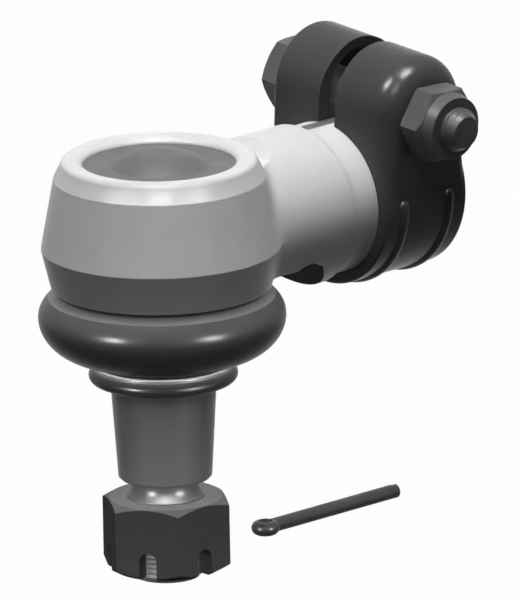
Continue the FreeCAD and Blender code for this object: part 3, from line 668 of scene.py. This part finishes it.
def makeRodThreadTree():
    tree = bpy.data.node_groups.new("rodThreadTurns", "GeometryNodeTree")
    faces = tree.interface
    faces.new_socket(name="Geometry", in_out="OUTPUT", socket_type="NodeSocketGeometry")
    for name, value in rodThreadSizes.items():
        kind = "NodeSocketInt" if isinstance(value, int) else "NodeSocketFloat"
        faces.new_socket(name=name, in_out="INPUT", socket_type=kind)
    faces.new_socket(name="Coat", in_out="INPUT", socket_type="NodeSocketMaterial")
    given = addNode(tree, "NodeGroupInput").outputs
    join = tree.links.new

    slit = mathNode(tree, "DIVIDE", given["Slit Half Angle"], math.pi)
    share = mathNode(tree, "SUBTRACT", 1.0, slit)  # part of a turn between the slit's sides
    spiral = addNode(tree, "GeometryNodeCurveSpiral")
    join(given["Steps"], spiral.inputs["Resolution"])
    join(share, spiral.inputs["Rotations"])
    join(given["Middle Radius"], spiral.inputs["Start Radius"])
    join(given["Middle Radius"], spiral.inputs["End Radius"])
    join(mathNode(tree, "MULTIPLY", share, given["Pitch"]), spiral.inputs["Height"])
    upright = addNode(tree, "GeometryNodeSetCurveNormal")
    join(spiral.outputs[0], upright.inputs["Curve"])

    section = addNode(tree, "GeometryNodeCurvePrimitiveQuadrilateral", mode="TRAPEZOID")
    join(given["Root Width"], section.inputs["Bottom Width"])
    join(given["Crest Width"], section.inputs["Top Width"])
    join(given["Thread Height"], section.inputs["Height"])
    section.inputs["Offset"].default_value = 0.0
    sideways = addNode(tree, "GeometryNodeTransform")
    sideways.inputs["Rotation"].default_value = (0, 0, math.radians(90))
    join(section.outputs[0], sideways.inputs["Geometry"])
    ridge = addNode(tree, "GeometryNodeCurveToMesh")
    ridge.inputs["Fill Caps"].default_value = True
    join(upright.outputs[0], ridge.inputs["Curve"])
    join(sideways.outputs[0], ridge.inputs["Profile Curve"])

    start = addNode(tree, "ShaderNodeCombineXYZ")
    join(given["Slit Half Angle"], start.inputs["Z"])
    clear = addNode(tree, "GeometryNodeTransform")  # past the slit
    join(ridge.outputs[0], clear.inputs["Geometry"])
    join(start.outputs[0], clear.inputs["Rotation"])
    lying = addNode(tree, "GeometryNodeTransform")  # along the shank
    lying.inputs["Rotation"].default_value = (0, math.radians(-90), 0)
    join(clear.outputs[0], lying.inputs["Geometry"])

    row = addNode(tree, "GeometryNodeMeshLine")
    first = addNode(tree, "ShaderNodeCombineXYZ")
    step = addNode(tree, "ShaderNodeCombineXYZ")
    join(given["Turns"], row.inputs["Count"])
    join(given["First Turn"], first.inputs["X"])
    join(mathNode(tree, "MULTIPLY", given["Pitch"], -1.0), step.inputs["X"])
    join(first.outputs[0], row.inputs["Start Location"])
    join(step.outputs[0], row.inputs["Offset"])
    turns = addNode(tree, "GeometryNodeInstanceOnPoints")
    join(row.outputs[0], turns.inputs["Points"])
    join(lying.outputs[0], turns.inputs["Instance"])
    real = addNode(tree, "GeometryNodeRealizeInstances")
    join(turns.outputs[0], real.inputs[0])
    coat = addNode(tree, "GeometryNodeSetMaterial")
    join(real.outputs[0], coat.inputs["Geometry"])
    join(given["Coat"], coat.inputs["Material"])
    join(coat.outputs[0], addNode(tree, "NodeGroupOutput").inputs["Geometry"])
    return tree


def makeRodThread():
    thread = bpy.data.objects.new("rodThread", bpy.data.meshes.new("rodThreadSeed"))
    bpy.context.scene.collection.objects.link(thread)
    turns = thread.modifiers.new("turns", "NODES")
    turns.node_group = makeRodThreadTree()
    for item in turns.node_group.interface.items_tree:
        if item.in_out == "INPUT":
            given = housingCoat if item.name == "Coat" else rodThreadSizes[item.name]
            turns[item.identifier] = given
    bakeModifiers(thread)
    thread.data.shade_smooth()
    thread.data.set_sharp_from_angle(angle=math.radians(rodThreadSharpAngle))
    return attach(thread, "housing_body")


makeRodThread()
print("angle ball joint: rod thread cut in the shank")

clampBoltSizes = {
    "x": -18.7, "height": 28.6, "turn": 3.6, "radius": 7.0, "end": -44.39, "endChamfer": 2.0,
    "endSlope": 1.5, "threadTo": -16.0, "runOut": 2.0, "pitch": 1.5, "depth": 0.9, "bare": 13.0,
    "rows": 230, "steps": 144, "sharpAngle": 30, "overlap": 0.5, "hex": 22.0, "headFrom": 24.25,
    "headHeight": 10.4, "headChamfer": 1.6, "headSlope": 30, "headSteps": 180,
    "headSharpAngle": 20,
}


def onBolt(radius, angle, along):
    sizes = clampBoltSizes
    across, up = radius * math.cos(angle), radius * math.sin(angle)
    point = Vector((sizes["x"] + across, along, sizes["height"] + up))
    point.rotate(Matrix.Rotation(math.radians(sizes["turn"]), 3, "X"))
    return point * millimetre


def boltShankRings():
    sizes = clampBoltSizes
    top = sizes["headFrom"] + sizes["overlap"]
    rings = [[onBolt(0, 0, sizes["end"])]]
    for row in range(sizes["rows"] + 1):
        along = sizes["end"] + (top - sizes["end"]) * (row / sizes["rows"])
        rise = (along - sizes["end"]) / sizes["endSlope"]
        limit = min(sizes["radius"], sizes["radius"] - sizes["endChamfer"] + rise)
        fade = min(max((sizes["threadTo"] - along) / sizes["runOut"], 0.0), 1.0)
        ring = []
        for step in range(sizes["steps"]):
            angle = 2 * math.pi * step / sizes["steps"]
            phase = along / sizes["pitch"] + angle / (2 * math.pi)
            radius = sizes["radius"] - threadDrop(phase, sizes["depth"]) * fade
            ring.append(onBolt(min(radius, limit), angle, along))
        rings.append(ring)
    return rings + [[onBolt(0, 0, top)]]


def boltHeadRings():
    sizes = clampBoltSizes
    foot, height = sizes["headFrom"], sizes["headHeight"]
    rings = [[onBolt(0, 0, foot)], [], [], [], [onBolt(0, 0, foot + height)]]
    flat = sizes["hex"] / 2
    face = flat / math.cos(math.radians(30)) - sizes["headChamfer"]  # 30: half a hexagon's side
    slope = math.tan(math.radians(sizes["headSlope"]))
    for step in range(sizes["headSteps"]):
        degrees = step * 360 / sizes["headSteps"]
        reach = flat / math.cos(math.radians((degrees % 60) - 30))
        edge = height - max(0.0, (reach - face) * slope)
        points = ((1, reach, 0.0), (2, reach, edge), (3, min(face, reach), height))
        for ring, radius, along in points:
            rings[ring].append(onBolt(radius, math.radians(degrees), foot + along))
    return rings


def makeClampBolt():
    sizes = clampBoltSizes
    shankMesh = ringMesh("clampBoltBody", boltShankRings(), False)
    shank = addPiece("clampBoltBody", shankMesh, clampBoltOxide, sizes["sharpAngle"])
    shankMesh.materials.append(boltShankPaintedLight)
    for face in shankMesh.polygons:
        if abs(face.center.y) < sizes["bare"] * millimetre:
            face.material_index = 1  # painted light on the shank between the ears, where the gap lies in shade
    headMesh = ringMesh("clampBoltHead", boltHeadRings(), False)
    head = addPiece("clampBoltHead", headMesh, clampBoltOxide, sizes["headSharpAngle"])
    for piece in (shank, head):
        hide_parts("clamp_bolt")
        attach(piece, "housing_body")


makeClampBolt()
print("angle ball joint: clamp bolt threaded")

stageLook = {
    "paper": (0.973, 0.992, 0.965), "floorDrop": 0.150, "floorSize": 6.0, "floorRoughness": 0.9,
    "bounce": 0.03, "shadowShare": 0.16, "ambient": (0.9, 0.95, 1.0), "ambientStrength": 0.012,
}


def seenRays(tree):  # camera, mirrors and glass see the paper, lit surfaces don't
    path = addNode(tree, "ShaderNodeLightPath").outputs
    seen = mathNode(tree, "MAXIMUM", path["Is Camera Ray"], path["Is Glossy Ray"])
    return mathNode(tree, "MAXIMUM", seen, path["Is Transmission Ray"])


def seenOrNot(tree, seen, unseen, output):
    chosen = addNode(tree, "ShaderNodeMixShader")
    tree.links.new(seenRays(tree), chosen.inputs[0])
    tree.links.new(unseen, chosen.inputs[1])
    tree.links.new(seen, chosen.inputs[2])
    tree.links.new(chosen.outputs[0], tree.nodes[output].inputs["Surface"])


def makeFloor():
    mesh = bpy.data.meshes.new("paperFloor")
    builder = bmesh.new()
    bmesh.ops.create_grid(builder, x_segments=1, y_segments=1, size=stageLook["floorSize"])
    builder.to_mesh(mesh)
    builder.free()
    paper = bpy.data.objects.new("paperFloor", mesh)
    bpy.context.scene.collection.objects.link(paper)
    paper.location = (0, 0, -stageLook["floorDrop"])
    material = bpy.data.materials.new("paperWhite")
    material.use_nodes = True
    tree = material.node_tree
    shader = tree.nodes["Principled BSDF"]
    shader.inputs["Base Color"].default_value = stageLook["paper"] + (1.0,)
    shader.inputs["Roughness"].default_value = stageLook["floorRoughness"]
    shader.inputs["Specular IOR Level"].default_value = 0.0
    glow = addNode(tree, "ShaderNodeEmission")
    glow.inputs["Color"].default_value = stageLook["paper"] + (1.0,)
    dim = addNode(tree, "ShaderNodeBsdfDiffuse")
    dim.inputs["Color"].default_value = (stageLook["bounce"],) * 3 + (1.0,)
    shown = addNode(tree, "ShaderNodeMixShader")  # mostly the paper's own white, partly its shadow
    shown.inputs[0].default_value = stageLook["shadowShare"]
    tree.links.new(glow.outputs[0], shown.inputs[1])
    tree.links.new(shader.outputs[0], shown.inputs[2])
    seenOrNot(tree, shown.outputs[0], dim.outputs[0], "Material Output")
    mesh.materials.append(material)


def makeWorld():
    world = bpy.data.worlds.new("studioWorld")
    bpy.context.scene.world = world
    world.use_nodes = True
    tree = world.node_tree
    ambient = tree.nodes["Background"]
    ambient.inputs["Color"].default_value = stageLook["ambient"] + (1.0,)
    ambient.inputs["Strength"].default_value = stageLook["ambientStrength"]
    paper = addNode(tree, "ShaderNodeBackground")
    paper.inputs["Color"].default_value = stageLook["paper"] + (1.0,)
    paper.inputs["Strength"].default_value = 1.0
    seenOrNot(tree, paper.outputs[0], ambient.outputs[0], "World Output")


cameraLook = {  # degrees, and metres seen from the ball's centre
    "azimuth": -43.8, "elevation": 15.9, "roll": 1.14, "across": 0.0299, "upward": -0.0182,
    "frameHeight": 0.1858, "distance": 3.0, "farEnd": 30,
}


def makeCamera():
    azimuth = math.radians(cameraLook["azimuth"])
    elevation = math.radians(cameraLook["elevation"])
    roll = math.radians(cameraLook["roll"])
    right = Vector((math.cos(azimuth), math.sin(azimuth), 0))
    level = Vector((right.y, -right.x, 0))
    back = level * math.cos(elevation) + Vector((0, 0, math.sin(elevation)))
    upward = back.cross(right)
    cameraRight = right * math.cos(roll) - upward * math.sin(roll)
    cameraUp = upward * math.cos(roll) + right * math.sin(roll)
    data = bpy.data.cameras.new("studioCamera")
    data.type = "ORTHO"
    data.ortho_scale = cameraLook["frameHeight"]
    data.clip_end = cameraLook["farEnd"]
    target = ballCentre + right * cameraLook["across"] + upward * cameraLook["upward"]
    place = target + back * cameraLook["distance"]
    camera = bpy.data.objects.new("studioCamera", data)
    turn = Matrix((cameraRight, cameraUp, back)).transposed()
    camera.matrix_world = Matrix.Translation(place) @ turn.to_4x4()
    bpy.context.scene.collection.objects.link(camera)
    bpy.context.scene.camera = camera


# azimuths count from the camera; a lamp with coats lights only the pieces that wear them, and a
# lamp named a glint shows in reflections only
lampDistance = 2.0
lampLooks = {
    "topPanel": {"azimuth": 0, "elevation": 84, "level": 0.30, "spread": 26, "shadow": True},
    "topFill": {"azimuth": 0, "elevation": 84, "level": 0.60, "spread": 26},
    "frontFill": {"azimuth": 0, "elevation": 55, "level": 0.13, "spread": 20},
    "lowFill": {"azimuth": 0, "elevation": 35, "level": 0.07, "spread": 20, "coats": "slim"},
    "leftGlint": {"azimuth": -47, "elevation": 13, "level": 11.0, "spread": 12, "coats": "slim"},
    "rightGlint": {"azimuth": 47, "elevation": 13, "level": 11.0, "spread": 12, "coats": "slim"},
    "midGlint": {"azimuth": 0, "elevation": 38, "level": 4.0, "spread": 14, "coats": "pale"},
    "highGlint": {"azimuth": 0, "elevation": 68, "level": 4.0, "spread": 16, "coats": "pale"},
    "rimLeftGlint": {"azimuth": -47, "elevation": 38, "level": 3.0, "spread": 20, "coats": "rim"},
    "rimRightGlint": {"azimuth": 47, "elevation": 38, "level": 3.0, "spread": 20, "coats": "rim"},
    "earGlint": {"azimuth": -54, "elevation": 52, "level": 5.0, "spread": 20, "coats": "clamp"},
    "ribGlint": {"azimuth": 4, "elevation": 38, "level": 1.2, "spread": 20, "coats": "clamp"},
    "reliefGlint": {"azimuth": 0, "elevation": 55, "level": 14.0, "spread": 60, "coats": "stud"},
    "nutTopFill": {"azimuth": 0, "elevation": 87, "level": 0.42, "spread": 3, "coats": "nut"},
    "nutLeftFill": {"azimuth": -75, "elevation": 10, "level": 0.11, "spread": 26, "coats": "nut"},
    "nutRightFill": {"azimuth": 70, "elevation": 10, "level": 0.10, "spread": 26, "coats": "nut"},
    "crownGlint": {"azimuth": 48, "elevation": 66, "level": 6.0, "spread": 24, "coats": "clamp"},
}
litCoats = {
    "slim": (bootRubber, sealRubber, washerZinc, studSteel, splitPinSteel, castleNutOxide),
    "pale": (housingCoat, coverPhosphate, studSteel, springSteel, shellPlastic),
    "clamp": (clampEnamel, clampBoltOxide),
    "rim": (housingCoat,),
    "stud": (studSteel,),
    "nut": (castleNutOxide,),
}


def litPieces():
    groups = {}
    for name, coats in litCoats.items():
        groups[name] = bpy.data.collections.new(name + "Pieces")
        for piece in bpy.data.objects:
            if any(slot.material in coats for slot in piece.material_slots):
                groups[name].objects.link(piece)
    return groups


def makeLamps():
    groups = litPieces()
    for name, look in lampLooks.items():
        azimuth = math.radians(cameraLook["azimuth"] - 90 + look["azimuth"])
        elevation = math.radians(look["elevation"])
        level = Vector((math.cos(azimuth), math.sin(azimuth), 0))
        towards = level * math.cos(elevation) + Vector((0, 0, math.sin(elevation)))
        turn = towards.to_track_quat("Z", "Y").to_matrix().to_4x4()
        data = bpy.data.lights.new(name, "SUN")
        data.energy = look["level"] * math.pi
        data.angle = math.radians(look["spread"])
        data.use_shadow = look.get("shadow", False)
        lamp = bpy.data.objects.new(name, data)
        lamp.matrix_world = Matrix.Translation(towards * lampDistance) @ turn
        lamp.visible_diffuse = not name.endswith("Glint")
        if "coats" in look:
            lamp.light_linking.receiver_collection = groups[look["coats"]]
        bpy.context.scene.collection.objects.link(lamp)


makeFloor()
makeWorld()
makeCamera()
makeLamps()
bpy.context.scene.view_settings.view_transform = "Standard"
print("angle ball joint: stage, camera and lamps ready")
